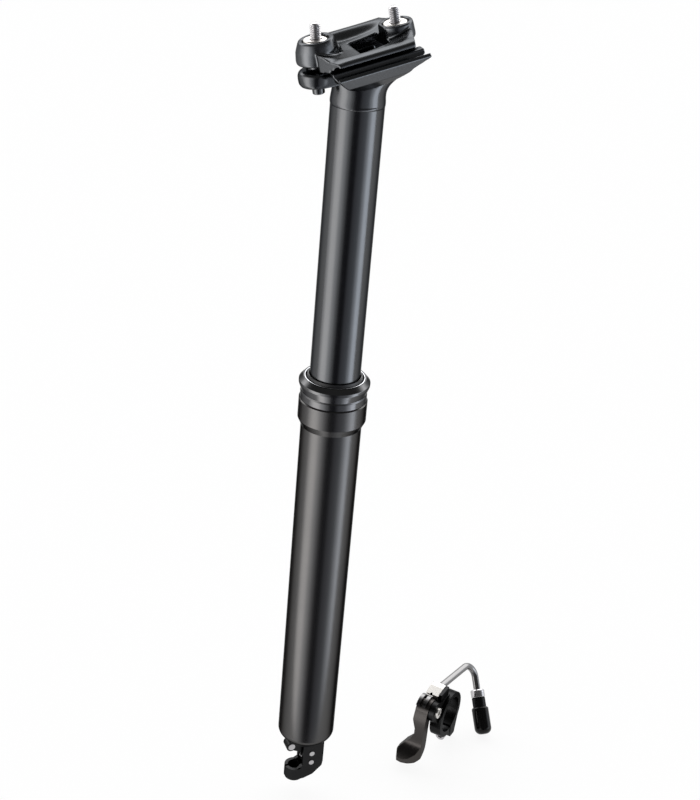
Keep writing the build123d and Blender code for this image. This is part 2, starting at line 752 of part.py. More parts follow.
def cable_barrel():
    x, z = lever_end_forward, bracket_top - lever_end_drop
    body = cross_bar(barrel_dia / 2, lever_end_half_width + pin_stand, x, z)
    return body - Pos(x, 0, z - barrel_dia) * Cylinder(barrel_hole_dia / 2, 2 * barrel_dia)


# Remote, drawn across and up in its own plane, with the handlebar along its normal
pivot_q, pivot_up = -remote_pivot_back, remote_pivot_rise


def disc(radius, low, high, q=0, up=0):
    return Pos(q, up, low) * Cylinder(radius, high - low, align=BASE)


def block(low, high):
    size = [b - a for a, b in zip(low, high)]
    return Pos(*low) * Box(*size, align=(Align.MIN, Align.MIN, Align.MIN))


def bar_clamp():
    half = bar_clamp_width / 2
    bar_r = bar_dia / 2
    outer_r = bar_r + bar_clamp_wall
    lug_low = -remote_lever_near + seat_gap
    body = disc(outer_r, -half, half)
    ears = make_face(Polyline(*ear_corners, close=True))
    body += Pos(0, 0, -half) * extrude(ears, amount=bar_clamp_width)
    arm = make_face(Polyline(
        (0, bar_r), (0, 0), (-bar_r, -lug_foot_drop),
        (pivot_q, pivot_up - lug_radius), (pivot_q, pivot_up + lug_radius), close=True))
    body += Pos(0, 0, lug_low) * extrude(arm, amount=lug_thickness)
    body += disc(lug_radius, lug_low, lug_low + lug_thickness, pivot_q, pivot_up)
    pad_foot = guide_seat_rise - guide_pad_depth
    pad_end = guide_length - guide_back
    pad_near = lug_low + lug_thickness
    body += block((-guide_back, pad_foot, -remote_lever_far), (pad_end, guide_seat_rise, pad_near))
    wall_top = guide_seat_rise + guide_wall_height
    body += block((-guide_back, pad_foot, lug_low), (pad_end, wall_top, lug_low + guide_wall_thickness))
    body -= disc(bar_r, -2 * bar_dia, 2 * bar_dia)
    slit = bar_clamp_slit / 2
    body -= block(
        (bar_clamp_slit_at - slit, -2 * bar_dia, -bar_clamp_width), (bar_clamp_slit_at + slit, 0, bar_clamp_width))
    across = Pos(0, -clamp_screw_drop, 0) * Rot(0, 90, 0)
    body -= across * Cylinder(clamp_screw_dia / 2 + fixed_gap, 4 * ear_right)
    path = noodle_path()
    body -= Plane(path @ 0, z_dir=path % 0).location * round_bar(noodle_dia / 2 + seat_gap, 0, bar_dia)
    body -= across * round_bar(clamp_screw_head_dia / 2 + fixed_gap, -bar_dia, -ear_left)
    return body - disc(pivot_screw_dia / 2 + fixed_gap, -remote_lever_far, bar_clamp_width, pivot_q, pivot_up)


def clamp_screw():
    body = round_bar(clamp_screw_dia / 2, -ear_left - fixed_gap, ear_right)
    head_foot = -ear_left - clamp_screw_head_height
    body += round_bar(clamp_screw_head_dia / 2, head_foot, -ear_left - fixed_gap)
    body -= hex_prism(clamp_screw_socket, head_foot - cut_over, head_foot + clamp_screw_head_height / 2)
    return Pos(0, -clamp_screw_drop, 0) * Rot(0, 90, 0) * body


def pivot_screw():
    near = -remote_lever_near + seat_gap + lug_thickness + fixed_gap
    head = disc(pivot_head_dia / 2, near, near + pivot_head_height, pivot_q, pivot_up)
    shank = disc(pivot_screw_dia / 2, -remote_lever_far, near, pivot_q, pivot_up)
    socket = Pos(pivot_q, pivot_up, 0) * hex_prism(pivot_socket, near + fixed_gap, near + 2 * pivot_head_height)
    return head + shank - socket


def pivot_nut():
    top = -remote_lever_far + nut_pocket_depth - seat_gap
    nut = hex_prism(pivot_nut_size, top - pivot_nut_height, top)
    nut -= round_bar(pivot_screw_dia / 2 + fixed_gap, top - 2 * pivot_nut_height, top + cut_over)
    return Pos(pivot_q, pivot_up, 0) * nut


def lever_bushing():
    inner = pivot_screw_dia / 2 + running_gap
    low = -remote_lever_far + nut_pocket_depth
    return disc(inner + bush_wall, low, -remote_lever_near - hub_pocket_depth, pivot_q, pivot_up) - disc(
        inner, -2 * remote_lever_far, 0, pivot_q, pivot_up)


def lever_point(share, length=remote_lever_length):
    return pivot_q + share[0] * length, pivot_up + share[1] * length


def remote_lever():
    size = remote_lever_length
    front = Spline(*[lever_point(share) for share in arm_front_shares])
    back = Spline(*[lever_point(share) for share in arm_back_shares])
    tip, root = Line(front @ 1, back @ 0), Line(back @ 1, front @ 0)
    arm = extrude(make_face([front, tip, back, root]), amount=size, both=True)
    plan = make_face(Polyline(*[(pivot_q + q * size, p * size) for q, p in pad_shares], close=True))
    arm &= extrude(Plane.XZ * plan, amount=2 * size, both=True)
    side = make_face(Polyline(*[(pivot_up + up * size, p * size) for up, p in arm_side_shares], close=True))
    arm &= extrude(Plane.YZ * side, amount=2 * size, both=True)
    far, near = -remote_lever_far, -remote_lever_near
    body = arm + disc(hub_radius, far, near, pivot_q, pivot_up)
    body -= disc(pivot_screw_dia / 2 + running_gap + bush_wall + fixed_gap, 4 * far, size, pivot_q, pivot_up)
    seat = disc(hub_radius + anchor_wall + fixed_gap, 2 * far, size, pivot_q, pivot_up)
    seat -= disc(hub_radius, 4 * far, 2 * size, pivot_q, pivot_up)
    body -= seat & sector(4 * hub_radius, anchor_start_angle, anchor_end_angle)
    body -= disc(nut_pocket_radius, 4 * far, far + nut_pocket_depth, pivot_q, pivot_up)
    return body - disc(hub_pocket_radius, near - hub_pocket_depth, size, pivot_q, pivot_up)


def remote_spring():
    low = -remote_lever_near - hub_pocket_depth + remote_spring_wire
    outer, inner = remote_spring_radius + remote_spring_wire / 2, remote_spring_radius - remote_spring_wire / 2
    coil = disc(outer, low, low + remote_spring_wire, pivot_q, pivot_up)
    coil -= disc(inner, 2 * low, -low, pivot_q, pivot_up)
    return coil - sector(2 * outer, spring_gap_start, spring_gap_end)


def sector(radius, start, end):
    # A wedge seen along the bar, from the lever's pivot
    corners = [(0, 0)]
    for step in range(sector_steps + 1):
        angle = radians(start + (end - start) * step / sector_steps)
        corners.append((radius * cos(angle), radius * sin(angle)))
    wedge = extrude(make_face(Polyline(*corners, close=True)), amount=2 * radius, both=True)
    return Pos(pivot_q, pivot_up, 0) * wedge


def cable_anchor():
    far = -remote_lever_far
    near = far + anchor_width
    outer_r = hub_radius + anchor_wall
    shell = disc(outer_r, far, near, pivot_q, pivot_up)
    shell -= disc(hub_radius + fixed_gap, 2 * far, -near, pivot_q, pivot_up)
    shell &= sector(2 * outer_r, anchor_start_angle, anchor_end_angle)
    middle = (far + near) / 2
    slot = block(
        (pivot_q - 2 * outer_r, pivot_up, middle - anchor_slot_width / 2),
        (pivot_q + 2 * outer_r, pivot_up + 2 * outer_r, middle + anchor_slot_width / 2))
    keep = sector(2 * outer_r, anchor_start_angle, anchor_start_angle + anchor_bridge_angle)
    return shell - (slot - keep)


def guide_block():
    q0, q1 = -guide_back, guide_length - guide_back
    low, high = guide_seat_rise + fixed_gap, guide_seat_rise + guide_height
    outline = make_face(Polyline(
        (q0, low), (q1, low), (q1, high), (q1 - guide_land, high), (q0, high - guide_slope), close=True))
    body = Pos(0, 0, -remote_lever_far) * extrude(outline, amount=guide_width)
    body = chamfer(body.edges().group_by(Axis.Y)[-1], guide_edge)
    path = noodle_path()
    inlet = Plane(path @ 0, z_dir=path % 0).location
    body -= inlet * round_bar(noodle_bore_dia / 2, -guide_length, guide_length)
    return body - inlet * round_bar(noodle_dia / 2 + fixed_gap, 0, guide_length)


def noodle_path():
    return FilletPolyline(noodle_start, noodle_corner, noodle_end, radius=noodle_bend_radius)


def noodle():
    path = noodle_path()
    start = Plane(path @ 0, z_dir=path % 0)
    tube = sweep(start * Circle(noodle_dia / 2), path)
    return tube - sweep(start * Circle(noodle_bore_dia / 2), path)


def noodle_exit(distance):
    # A frame on the noodle's last straight run, that far beyond its end
    path = noodle_path()
    along = (path % 1).normalized()
    spot = Vector(*noodle_end) + along * distance
    return Plane(spot, z_dir=along).location


def noodle_ferrule():
    body = round_bar(ferrule_dia / 2, 0, ferrule_length)
    body = chamfer(body.edges().filter_by(GeomType.CIRCLE), guide_edge)
    body -= round_bar(noodle_dia / 2 + fixed_gap, -cut_over, ferrule_seat)
    return noodle_exit(-ferrule_seat) * (body - round_bar(noodle_bore_dia / 2, 0, 2 * ferrule_length))


def adjuster_barrel():
    foot = ferrule_length - ferrule_seat + fixed_gap
    body = round_bar(adjuster_dia / 2, 0, adjuster_shoulder)
    body += round_bar(adjuster_thread_dia / 2, 0, adjuster_length)
    return noodle_exit(foot) * (body - round_bar(noodle_bore_dia / 2, -cut_over, 2 * adjuster_length))


def adjuster_knob():
    foot = ferrule_length - ferrule_seat + adjuster_shoulder + 2 * fixed_gap
    radius = knob_dia / 2
    body = round_bar(radius, 0, knob_length)
    body = fillet(body.edges().filter_by(GeomType.CIRCLE).sort_by(Axis.Z)[-1], knob_end_round)
    body = fillet(body.edges().filter_by(GeomType.CIRCLE).sort_by(Axis.Z)[0], knob_edge)
    body -= round_bar(adjuster_thread_dia / 2 + running_gap, -cut_over, knob_bore_depth)
    body -= round_bar(noodle_bore_dia / 2, 0, 2 * knob_length)
    body -= round_bar(knob_socket_dia / 2, knob_length - knob_socket_depth / 2, knob_length + cut_over)
    return noodle_exit(foot) * body


save("outer_tube", outer_tube())
save("collar_cap", collar_cap())
save("foam_ring", foam_ring())
save("wiper_seal", wiper_seal())
save("upper_bushing", upper_bushing())
save("lower_bushing", lower_bushing())
save("guide_keys", guide_keys())
save("stanchion_tube", stanchion_tube())
save("cartridge_cylinder", cartridge_cylinder())
save("cartridge_seal_head", cartridge_seal_head())
save("cartridge_end_plug", cartridge_end_plug())
save("cartridge_rod", cartridge_rod())
save("cartridge_piston", cartridge_piston())
save("release_pin", release_pin())
save("head_forging", head_forging())
for name, side in (("front", 1), ("rear", -1)):
    save(f"{name}_clamp_bolt", clamp_bolt(side), head_frame)
    save(f"{name}_bolt_washer", bolt_washer(side), head_frame)
    save(f"{name}_domed_nut", domed_nut(side), head_frame)
save("upper_clamp", upper_clamp(), clamp_frame)
save("lower_cradle", lower_cradle(), clamp_frame)
save("foot_plug", foot_plug())
save("actuator_bracket", actuator_bracket())
save("lever_pivot_pin", bracket_pin(pivot_drop))
save("bracket_rivet", bracket_pin(rivet_drop))
save("actuator_lever", actuator_lever())
save("cable_barrel", cable_barrel())
for name, shape in (
    ("bar_clamp", bar_clamp()), ("clamp_screw", clamp_screw()), ("remote_pivot_screw", pivot_screw()),
    ("remote_pivot_nut", pivot_nut()), ("lever_bushing", lever_bushing()), ("remote_lever", remote_lever()),
    ("remote_spring", remote_spring()), ("cable_anchor", cable_anchor()), ("guide_block", guide_block()),
    ("noodle", noodle()), ("noodle_ferrule", noodle_ferrule()), ("adjuster_barrel", adjuster_barrel()),
    ("adjuster_knob", adjuster_knob()),
):
    save(name, shape, remote_frame)
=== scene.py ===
import bpy, bmesh, math
from mathutils import Matrix, Vector


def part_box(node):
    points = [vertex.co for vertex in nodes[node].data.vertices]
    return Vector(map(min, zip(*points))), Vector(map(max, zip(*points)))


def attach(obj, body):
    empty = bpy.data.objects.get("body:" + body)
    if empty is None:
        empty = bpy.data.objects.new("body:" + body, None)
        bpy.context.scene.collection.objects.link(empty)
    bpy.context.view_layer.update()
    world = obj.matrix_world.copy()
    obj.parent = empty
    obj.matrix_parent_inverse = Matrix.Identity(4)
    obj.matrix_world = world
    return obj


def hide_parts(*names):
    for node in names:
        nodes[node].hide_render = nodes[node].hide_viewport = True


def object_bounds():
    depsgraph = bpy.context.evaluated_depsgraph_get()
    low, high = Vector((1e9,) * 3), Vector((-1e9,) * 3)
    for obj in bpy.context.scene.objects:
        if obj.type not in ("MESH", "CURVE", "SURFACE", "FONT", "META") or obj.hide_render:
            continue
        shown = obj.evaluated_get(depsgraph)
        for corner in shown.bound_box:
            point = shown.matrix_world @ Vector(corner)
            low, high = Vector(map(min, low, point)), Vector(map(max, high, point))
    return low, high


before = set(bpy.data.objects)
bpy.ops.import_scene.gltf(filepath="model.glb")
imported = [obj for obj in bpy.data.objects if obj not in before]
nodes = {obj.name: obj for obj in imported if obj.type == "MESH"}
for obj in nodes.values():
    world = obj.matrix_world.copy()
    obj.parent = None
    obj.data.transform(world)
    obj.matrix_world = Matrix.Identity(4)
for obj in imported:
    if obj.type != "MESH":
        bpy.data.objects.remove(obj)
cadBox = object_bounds()
scene = bpy.context.scene
mm = 0.001
cameraHeading = (0.3746, 0.9272)  # over the ground, from the post towards the camera
print("frame loaded:", len(nodes), "nodes")


# Materials: every finish has its own colour, sheen and surface relief, all procedural
def newMaterial(name):
    mat = bpy.data.materials.new(name)
    mat.use_nodes = True
    tree = mat.node_tree
    shader = tree.nodes["Principled BSDF"]
    return mat, tree, shader


def objectCoords(tree, stretch=(1, 1, 1)):
    coords = tree.nodes.new("ShaderNodeTexCoord")
    mapping = tree.nodes.new("ShaderNodeMapping")
    mapping.inputs["Scale"].default_value = stretch
    tree.links.new(coords.outputs["Object"], mapping.inputs["Vector"])
    return mapping.outputs["Vector"]


def noiseNode(tree, vector, scale, detail=4.0, rough=0.55):
    noise = tree.nodes.new("ShaderNodeTexNoise")
    noise.inputs["Scale"].default_value = scale
    noise.inputs["Detail"].default_value = detail
    noise.inputs["Roughness"].default_value = rough
    tree.links.new(vector, noise.inputs["Vector"])
    return noise.outputs["Fac"]


def mapRange(tree, value, low, high, fromLow=0.3, fromHigh=0.7):
    node = tree.nodes.new("ShaderNodeMapRange")
    node.inputs["From Min"].default_value = fromLow
    node.inputs["From Max"].default_value = fromHigh
    node.inputs["To Min"].default_value = low
    node.inputs["To Max"].default_value = high
    tree.links.new(value, node.inputs["Value"])
    return node.outputs["Result"]


def mathNode(tree, operation, first, second):
    node = tree.nodes.new("ShaderNodeMath")
    node.operation = operation
    tree.links.new(first, node.inputs[0])
    tree.links.new(second, node.inputs[1])
    return node.outputs["Value"]


def mixColours(tree, factor, first, second):
    # Each of the two is a plain colour or another node's output
    node = tree.nodes.new("ShaderNodeMix")
    node.data_type = "RGBA"
    for socket, colour in ((node.inputs["A"], first), (node.inputs["B"], second)):
        if isinstance(colour, bpy.types.NodeSocket):
            tree.links.new(colour, socket)
        else:
            socket.default_value = (*colour, 1)
    tree.links.new(factor, node.inputs["Factor"])
    return node.outputs["Result"]


def addBump(tree, shader, height, distance, strength=0.5):
    bump = tree.nodes.new("ShaderNodeBump")
    bump.inputs["Strength"].default_value = strength
    bump.inputs["Distance"].default_value = distance
    tree.links.new(height, bump.inputs["Height"])
    tree.links.new(bump.outputs["Normal"], shader.inputs["Normal"])


def makeFinish(name, colour, accent, rough, metallic=0.0, specular=0.5, edgeTint=1.0, grain=900.0,
               relief=1e-6, stretch=(1, 1, 1), blotch=60.0):
    # A general finish: mottled colour, uneven roughness and fine relief, which is in metres
    mat, tree, shader = newMaterial(name)
    vector = objectCoords(tree, stretch)
    broad = noiseNode(tree, vector, blotch, 3.0)
    fine = noiseNode(tree, vector, grain, 2.0, 0.5)
    tree.links.new(mixColours(tree, broad, colour, accent), shader.inputs["Base Color"])
    tree.links.new(mapRange(tree, fine, rough[0], rough[1]), shader.inputs["Roughness"])
    shader.inputs["Metallic"].default_value = metallic
    shader.inputs["Specular IOR Level"].default_value = specular
    shader.inputs["Specular Tint"].default_value = (edgeTint, edgeTint, edgeTint, 1)
    addBump(tree, shader, fine, relief)
    return mat


finishes = {
    # Anodised, painted and cast black metal
    "tubeBlack": dict(colour=(0.078, 0.08, 0.083), accent=(0.088, 0.09, 0.093), rough=(0.17, 0.2),
                      metallic=1.0, edgeTint=0.3, grain=400.0, relief=4e-7),
    "satinBlack": dict(colour=(0.078, 0.077, 0.077), accent=(0.09, 0.088, 0.087), rough=(0.23, 0.27),
                       metallic=1.0, edgeTint=0.2, grain=1500.0, relief=5e-7),
    "collarBlack": dict(colour=(0.098, 0.098, 0.1), accent=(0.108, 0.108, 0.11), rough=(0.15, 0.2),
                        metallic=1.0, edgeTint=0.3, grain=800.0, relief=5e-7),
    "forgedBlack": dict(colour=(0.085, 0.088, 0.092), accent=(0.11, 0.114, 0.12), rough=(0.2, 0.27),
                        metallic=1.0, edgeTint=0.4, grain=700.0, relief=8e-7),
    "castBlack": dict(colour=(0.017, 0.017, 0.0175), accent=(0.026, 0.026, 0.0265), rough=(0.26, 0.36),
                      metallic=1.0, edgeTint=0.5, grain=900.0, relief=1e-6),
    "leverGrey": dict(colour=(0.05, 0.046, 0.044), accent=(0.068, 0.063, 0.06), rough=(0.27, 0.34),
                      metallic=1.0, edgeTint=0.5, grain=1500.0, relief=1e-6),
    # Bare and plated metal
    "boltSteel": dict(colour=(0.4, 0.39, 0.4), accent=(0.52, 0.51, 0.52), rough=(0.22, 0.32),
                      metallic=1.0, grain=1200.0, relief=1e-6),
    "nickel": dict(colour=(0.62, 0.6, 0.57), accent=(0.72, 0.7, 0.67), rough=(0.26, 0.36),
                   metallic=1.0, grain=1200.0, relief=1e-6),
    "chrome": dict(colour=(0.15, 0.147, 0.147), accent=(0.2, 0.197, 0.197), rough=(0.14, 0.2),
                   metallic=1.0, grain=600.0, relief=6e-7),
    "brass": dict(colour=(0.62, 0.44, 0.18), accent=(0.7, 0.52, 0.25), rough=(0.25, 0.35),
                  metallic=1.0, grain=1200.0, relief=2e-6),
    "machinedAlloy": dict(colour=(0.5, 0.51, 0.53), accent=(0.62, 0.63, 0.65), rough=(0.25, 0.38),
                          metallic=1.0, grain=500.0, relief=2e-6, stretch=(1, 1, 12)),
    # Rubber, plastic and foam
    "rubberBlack": dict(colour=(0.01, 0.01, 0.011), accent=(0.016, 0.016, 0.017), rough=(0.35, 0.45),
                        specular=0.4, grain=1500.0, relief=4e-6),
    "knobBlack": dict(colour=(0.003, 0.003, 0.003), accent=(0.005, 0.005, 0.005), rough=(0.12, 0.18),
                      specular=0.16, grain=600.0, relief=5e-7),
    "linerPlastic": dict(colour=(0.06, 0.08, 0.07), accent=(0.1, 0.12, 0.11), rough=(0.45, 0.6),
                         specular=0.4, grain=900.0, relief=1e-5),
    "foam": dict(colour=(0.1, 0.1, 0.09), accent=(0.16, 0.16, 0.14), rough=(0.8, 0.95),
                 specular=0.2, grain=2200.0, relief=1e-4),
}
made = {name: makeFinish(name, **values) for name, values in finishes.items()}
print("finishes made:", len(made))

# Which finish every CAD node gets, whether it shows itself or a piece stands for it
nodeFinish = {
    "outer_tube": "satinBlack", "collar_cap": "collarBlack", "wiper_seal": "rubberBlack",
    "foam_ring": "foam", "upper_bushing": "linerPlastic", "lower_bushing": "linerPlastic",
    "foot_plug": "castBlack", "cartridge_rod": "chrome", "cartridge_piston": "machinedAlloy",
    "actuator_bracket": "castBlack", "lever_pivot_pin": "boltSteel", "bracket_rivet": "boltSteel",
    "release_pin": "boltSteel", "actuator_lever": "castBlack", "cable_barrel": "boltSteel",
    "stanchion_tube": "tubeBlack", "guide_keys": "brass", "cartridge_cylinder": "machinedAlloy",
    "cartridge_seal_head": "machinedAlloy", "cartridge_end_plug": "machinedAlloy",
    "head_forging": "tubeBlack", "front_clamp_bolt": "boltSteel", "rear_clamp_bolt": "boltSteel",
    "front_bolt_washer": "boltSteel", "rear_bolt_washer": "boltSteel", "front_domed_nut": "nickel",
    "rear_domed_nut": "nickel", "lower_cradle": "forgedBlack", "upper_clamp": "forgedBlack",
    "bar_clamp": "castBlack", "clamp_screw": "boltSteel", "remote_pivot_screw": "nickel",
    "remote_pivot_nut": "boltSteel", "lever_bushing": "brass", "remote_lever": "leverGrey",
    "remote_spring": "boltSteel", "cable_anchor": "chrome", "guide_block": "nickel", "noodle": "chrome",
    "noodle_ferrule": "boltSteel", "adjuster_barrel": "castBlack", "adjuster_knob": "knobBlack",
}
softEdge = {"width": 0.12, "segments": 2, "sharperThan": 35}  # millimetres and degrees


def dress(obj, material):
    obj.data.materials.clear()
    obj.data.materials.append(material)


for nodeName, obj in nodes.items():
    dress(obj, made[nodeFinish[nodeName]])
    bevel = obj.modifiers.new("softEdge", "BEVEL")
    bevel.width = softEdge["width"] * mm
    bevel.segments = softEdge["segments"]
    bevel.limit_method = "ANGLE"
    bevel.angle_limit = math.radians(softEdge["sharperThan"])
print("CAD nodes dressed")


# Mesh tools: closed forms are drawn in millimetres in a piece's own frame, cut, softened, then placed
def placeFrame(pivot, lean):
    return Matrix.Translation(pivot) @ Matrix.Rotation(math.radians(lean), 4, "Y")


def objectFrom(name, verts, faces):
    mesh = bpy.data.meshes.new(name)
    mesh.from_pydata(verts, [], faces)
    mesh.update()
    obj = bpy.data.objects.new(name, mesh)
    scene.collection.objects.link(obj)
    return obj


def fixNormals(obj):
    # Triangles, so that no bent face upsets a later cut, all facing outwards
    work = bmesh.new()
    work.from_mesh(obj.data)
    bmesh.ops.triangulate(work, faces=work.faces)
    bmesh.ops.recalc_face_normals(work, faces=work.faces)
    work.to_mesh(obj.data)
    work.free()
    return obj


def loftForm(name, rings):
    # Rings with equally many points, joined in order and closed at both ends
    count = len(rings[0])
    verts = [point for ring in rings for point in ring]
    faces = [tuple(range(count))[::-1], tuple(range((len(rings) - 1) * count, len(rings) * count))]
    for row in range(len(rings) - 1):
        for i in range(count):
            a, b = row * count + i, row * count + (i + 1) % count
            faces.append((a, b, b + count, a + count))
    return fixNormals(objectFrom(name, verts, faces))


def circlePoints(radius, z, steps, cx=0.0):
    turns = (2 * math.pi * i / steps for i in range(steps))
    return [(cx + radius * math.cos(t), radius * math.sin(t), z) for t in turns]


def latheForm(name, profile, steps=72, cx=0.0):
    # A profile of (radius, height) pairs from one end of the axis to the other
    return loftForm(name, [circlePoints(radius, z, steps, cx) for radius, z in profile])


def ringForm(name, profile, steps=72):
    # A closed profile of (radius, height) pairs, turned into a ring with a hole
    rows = [circlePoints(radius, z, steps) for radius, z in profile]
    verts = [point for row in rows for point in row]
    faces = []
    for row in range(len(rows)):
        low, high = row * steps, (row + 1) % len(rows) * steps
        for i in range(steps):
            j = (i + 1) % steps
            faces.append((low + i, low + j, high + j, high + i))
    return fixNormals(objectFrom(name, verts, faces))


def prismForm(name, outline, low, high):
    return loftForm(name, [[(x, y, z) for x, y in outline] for z in (low, high)])


def boxOutline(x0, x1, half):
    return [(x0, -half), (x1, -half), (x1, half), (x0, half)]


def bakeModifiers(obj):
    graph = bpy.context.evaluated_depsgraph_get()
    mesh = bpy.data.meshes.new_from_object(obj.evaluated_get(graph))
    obj.modifiers.clear()
    obj.data = mesh
    return obj


def applyBoolean(obj, other, operation):
    step = obj.modifiers.new(operation.lower(), "BOOLEAN")
    step.operation = operation
    step.solver = "EXACT"
    step.object = other
    bakeModifiers(obj)


def combine(obj, other, operation):
    applyBoolean(obj, other, operation)
    bpy.data.objects.remove(other)


def soften(obj, voxel, rounds, above=None):
    # Even small quads and a few smoothing rounds leave the rounded edges of a forging
    remesh = obj.modifiers.new("evenQuads", "REMESH")
    remesh.mode = "VOXEL"
    remesh.voxel_size = voxel
    bakeModifiers(obj)
    smooth = obj.modifiers.new("rounding", "SMOOTH")
    smooth.factor = 0.5
    smooth.iterations = rounds
    if above is not None:
        group = obj.vertex_groups.new(name="softPart")
        group.add([v.index for v in obj.data.vertices if v.co.z > above], 1.0, "REPLACE")
        smooth.vertex_group = "softPart"
    return bakeModifiers(obj)


def joinForms(forms):
    work = bmesh.new()
    for form in forms:
        work.from_mesh(form.data)
    work.to_mesh(forms[0].data)
    work.free()
    for form in forms[1:]:
        bpy.data.objects.remove(form)
    return forms[0]


def settle(obj, matrix, body, finishName, *replaced):
    # Millimetres to metres, into place, dressed, and riding on its body
    obj.data.transform(Matrix.Scale(mm, 4) @ matrix)
    obj.data.polygons.foreach_set("use_smooth", [True] * len(obj.data.polygons))
    dress(obj, made[finishName])
    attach(obj, body)
    if replaced:
        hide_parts(*replaced)
    return obj


def copyNode(name, node, matrix):
    # The solid's own mesh in a piece's frame, to be worked on further
    obj = bpy.data.objects.new(name, nodes[node].data.copy())
    scene.collection.objects.link(obj)
    obj.data.transform(matrix.inverted() @ Matrix.Scale(1 / mm, 4))
    return obj


# Places that the head's pieces share, in millimetres: tilt axis, lean of head and clamp, rails
headPlan = {
    "pivot": (3.7, 0, 201.57), "headLean": 11.0, "clampLean": 15.0,
    "halfBolts": 19.6, "nutRise": 1.37, "nutReach": 19.55,
    "railLevel": -9.05, "railHalf": 22.0, "railRadius": 3.55,
}
headFrame = placeFrame(headPlan["pivot"], headPlan["headLean"])
clampFrame = placeFrame(headPlan["pivot"], headPlan["clampLean"])

# Upper clamp, in millimetres, with heights counted from the rail's axis
clampPlan = {
    # Forward place, then height of the plate's middle, of its shoulder and of its crest
    "stations": ((-26, 8.0, 8.0, 6.5), (-20, 6.5, 6.7, 6.2), (-16, 5.0, 5.2, 6.05), (-12.3, 3.5, 3.8, 5.95),
                 (-6, 2.8, 3.0, 5.9), (1.8, 2.3, 2.5, 5.9), (6, 2.5, 2.7, 5.9), (10, 3.3, 3.6, 5.9),
                 (15, 5.0, 5.2, 5.8), (20, 6.8, 6.9, 5.4), (26, 8.9, 8.7, 5.0)),
    "slices": 36, "averageReach": 1.5, "slopeSteps": 8,
    "shoulder": 13.0, "crest": 19.0, "edge": 23.8,
    "crestEnd": (1.4, 0.1),  # out from the crest, and down
    "edgeRound": ((1.5, 0.35), (0.5, 0.9), (0.1, 1.6), (0, 2.6)),  # in from the edge, down from the crest
    "lip": 1.6, "root": 17.6, "foot": -0.4,
    "footSteps": ((1.2, 0.6), (4.7, 0.6), (4.7, 0)),  # in from the root, up from the foot
    # Seen from above: where the wings end, and the tips at the bolts
    "front": 16.9, "rear": 18.9, "tipReach": 23.2, "tipHalf": 11.0, "planMargin": 1,
    # Bosses round the nuts, front 1 and rear -1: (radius, height from the tilt axis)
    "bossProfile": {
        1: ((8.4, -7.6), (9.3, -7.3), (9.9, -6.6), (10.05, -5.2), (9.75, -3.0), (9.0, -0.6), (8.45, 0.9),
            (8.15, 1.5), (7.7, 1.7)),
        -1: ((8.3, -7.6), (8.5, -7.3), (8.6, -6.2), (8.6, -5.0), (8.5, -3.0), (8.4, -0.6), (8.15, 0.9),
             (7.9, 1.5), (7.5, 1.7))},
    "bossLean": {1: 0.1, -1: 0.0}, "bossFixedBelow": -4, "bossSteps": 72,
    # Bulge behind the front boss: forward place, height from the tilt axis, three half sizes
    "web": (13.3, -5.0, 5.2, 5.0, 5.2), "webSteps": 18, "webTurnSteps": 48,
    # Cuts: window, nut pockets, bolt slots and rail grooves
    "window": (-12.4, 2.0), "windowHalf": 9.0, "cutReach": 30,
    "pocket": 6.1, "pocketAngles": (75, 60, 45, 30, 15, 0), "pocketTop": 8,
    "slotHalf": 5.5, "slotHalfWidth": 3.8, "slotTop": 10, "railReach": 40, "railSteps": 48,
    "voxel": 0.4, "rounds": 4,
}


def eased(t):
    return t * t * (3 - 2 * t)


def stationAt(x, stations):
    # Heights at any place along the plate, on straight lines between the stations
    for (x0, *first), (x1, *second) in zip(stations, stations[1:]):
        if x <= x1:
            share = (x - x0) / (x1 - x0)
            return [a + (b - a) * share for a, b in zip(first, second)]
    return list(stations[-1][1:])


def clampRing(x, plan):
    # One slice of the plate. Its heights are averaged with those beside it, which rounds the stations
    low, edge, root, foot = headPlan["railLevel"], plan["edge"], plan["root"], plan["foot"]
    reach = plan["averageReach"]
    near = [stationAt(x + step, plan["stations"]) for step in (-reach, 0, reach)]
    middle, shoulder, crest = (sum(values) / len(near) for values in zip(*near))
    start, end, steps = plan["shoulder"], plan["crest"], plan["slopeSteps"]
    slope = [(start + (end - start) * i / steps, shoulder + (crest - shoulder) * eased(i / steps))
             for i in range(steps + 1)]
    half = [(0, middle), *slope, (end + plan["crestEnd"][0], crest - plan["crestEnd"][1])]
    half += [(edge - inward, crest - down) for inward, down in plan["edgeRound"]]
    half += [(edge, plan["lip"]), (root, plan["lip"])]
    half += [(root - inward, foot + up) for inward, up in plan["footSteps"]]
    half.append((0, foot))
    return [(x, y, low + z) for y, z in half] + [(x, -y, low + z) for y, z in reversed(half[1:-1])]


